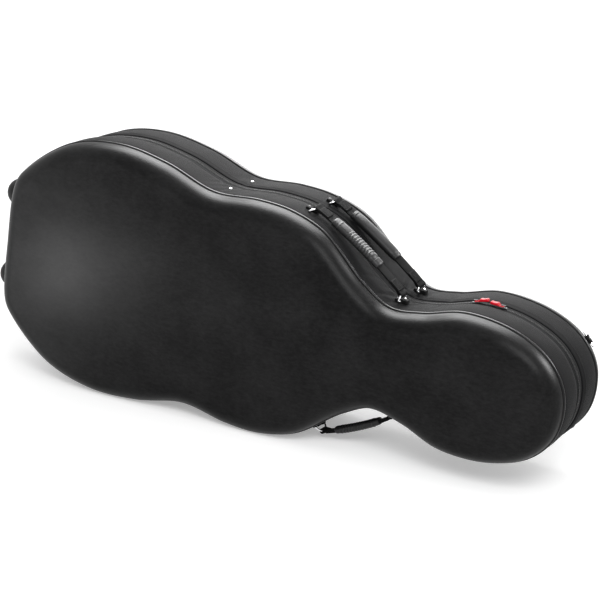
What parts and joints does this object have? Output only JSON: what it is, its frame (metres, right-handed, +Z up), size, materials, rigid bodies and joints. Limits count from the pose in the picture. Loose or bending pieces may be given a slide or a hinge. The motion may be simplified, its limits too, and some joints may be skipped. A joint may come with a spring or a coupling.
{
  "type": "cello hard case",
  "caption": "Hard cello case with two moulded half shells, nylon side walls, an all-round zip, carrying handles, feet, backpack straps and a padded inside.",
  "frame": {"origin": "middle of the box on the floor, with the case lying on its hinge flank", "axes": "+X along the floor line from the tail end towards the head end, +Y from the lid to the back, +Z up"},
  "size_m": [1.3282, 0.292, 0.5431],
  "materials": {
    "shell": "fine pebbled grain, satin",
    "wall_nylon": "dense woven nylon",
    "piping": "smooth satin cord",
    "lining_plush": "short plush",
    "zip_tape": "woven tape with coil teeth",
    "chrome": "polished nickel",
    "slider_black": "black enamel, worn at its edges",
    "webbing": "ribbed webbing",
    "grip": "moulded, satin",
    "foot_rubber": "moulded, matt",
    "pull_red": "soft moulded",
    "strap_padding": "padded mesh with webbing",
    "foam": "foam under plush",
    "inner_plastic": "moulded, matt"
  },
  "bodies": {
    "base": {"base_shell": "shell", "base_wall": "wall_nylon", "base_piping": "piping", "base_lining": "lining_plush", "base_zip_tape": "zip_tape", "base_hinge_cloth": "wall_nylon", "base_waist_rivet": "chrome", "base_handle_tail_ring": "chrome", "base_handle_tail_tab": "webbing", "base_handle_neck_ring": "chrome", "base_handle_neck_tab": "webbing", "upper_base_foot": "foot_rubber", "lower_base_foot": "foot_rubber", "zip_side_strap": "strap_padding", "zip_side_strap_ring": "chrome", "zip_side_strap_tab": "webbing", "zip_side_strap_hook": "chrome", "hinge_side_strap": "strap_padding", "hinge_side_strap_ring": "chrome", "hinge_side_strap_tab": "webbing", "hinge_side_strap_hook": "chrome", "tail_block": "foam", "lower_body_pad": "foam", "upper_body_pad": "foam", "neck_cradle": "foam", "accessory_box": "inner_plastic"},
    "lid": {"lid_shell": "shell", "lid_wall": "wall_nylon", "lid_piping": "piping", "lid_lining": "lining_plush", "lid_zip_tape": "zip_tape", "lid_hinge_cloth": "wall_nylon", "lid_waist_rivet": "chrome", "lid_handle_tail_ring": "chrome", "lid_handle_tail_tab": "webbing", "lid_handle_neck_ring": "chrome", "lid_handle_neck_tab": "webbing", "hinge_side_handle_tail_ring": "chrome", "hinge_side_handle_tail_tab": "webbing", "hinge_side_handle_neck_ring": "chrome", "hinge_side_handle_neck_tab": "webbing", "upper_lid_foot": "foot_rubber", "lower_lid_foot": "foot_rubber", "bow_frog_rest": "foam", "bow_tip_rest": "foam", "music_pocket": "wall_nylon"},
    "lid_handle": {"lid_handle_webbing": "webbing", "lid_handle_grip": "grip"},
    "base_handle": {"base_handle_webbing": "webbing", "base_handle_grip": "grip"},
    "hinge_side_handle": {"hinge_side_handle_webbing": "webbing", "hinge_side_handle_grip": "grip"},
    "tail_slider": {"tail_slider": "slider_black"},
    "tail_pull": {"tail_pull": "pull_red"},
    "head_slider": {"head_slider": "slider_black"},
    "head_pull": {"head_pull": "pull_red"},
    "neck_strap": {"neck_strap": "webbing"},
    "accessory_box_lid": {"accessory_box_lid": "inner_plastic"},
    "zip_side_bow_toggle": {"zip_side_bow_toggle": "inner_plastic"},
    "hinge_side_bow_toggle": {"hinge_side_bow_toggle": "inner_plastic"}
  },
  "joints": [
    {"name": "lid_hinge", "type": "hinge", "parent": "base", "child": "lid", "pos_m": [0, -0.00928, 0], "axis": [1, 0, 0], "range_deg": [0, 170]},
    {"name": "lid_handle_swing", "type": "hinge", "parent": "lid", "child": "lid_handle", "pos_m": [0.19465, -0.05128, 0.39559], "axis": [-0.8187, 0, 0.5743], "range_deg": [0, 50]},
    {"name": "base_handle_swing", "type": "hinge", "parent": "base", "child": "base_handle", "pos_m": [0.19465, 0.03572, 0.39559], "axis": [-0.8187, 0, 0.5743], "range_deg": [0, 30]},
    {"name": "hinge_side_handle_swing", "type": "hinge", "parent": "lid", "child": "hinge_side_handle", "pos_m": [0.21768, -0.05128, 0.0655], "axis": [0.9136, 0, 0.4066], "range_deg": [-30, 30]},
    {"name": "tail_slider_travel", "type": "slide", "parent": "lid", "child": "tail_slider", "axis": [-0.9829, 0, -0.1844], "range_m": [0, 0.025]},
    {"name": "head_slider_travel", "type": "slide", "parent": "lid", "child": "head_slider", "axis": [0.9983, 0, -0.0586], "range_m": [0, 0.025]},
    {"name": "tail_pull_flip", "type": "hinge", "parent": "tail_slider", "child": "tail_pull", "pos_m": [0.43507, -0.00928, 0.33971], "axis": [0, -1, 0], "range_deg": [0, 150]},
    {"name": "head_pull_flip", "type": "hinge", "parent": "head_slider", "child": "head_pull", "pos_m": [0.4924, -0.00928, 0.33985], "axis": [0, 1, 0], "range_deg": [0, 150]},
    {"name": "neck_strap_hinge", "type": "hinge", "parent": "base", "child": "neck_strap", "pos_m": [0.28183, 0.01312, 0.15454], "axis": [0.996, 0, -0.0893], "range_deg": [0, 90]},
    {"name": "accessory_box_lid_hinge", "type": "hinge", "parent": "base", "child": "accessory_box_lid", "pos_m": [0.39413, 0.05882, 0.13141], "axis": [0.996, 0, -0.0893], "range_deg": [0, 90]},
    {"name": "zip_side_toggle_turn", "type": "hinge", "parent": "lid", "child": "zip_side_bow_toggle", "pos_m": [-0.41046, -0.08473, 0.40265], "axis": [0, -1, 0], "range_deg": [0, 90]},
    {"name": "hinge_side_toggle_turn", "type": "hinge", "parent": "lid", "child": "hinge_side_bow_toggle", "pos_m": [-0.43301, -0.08473, 0.15106], "axis": [0, 1, 0], "range_deg": [0, 90]}
  ]
}
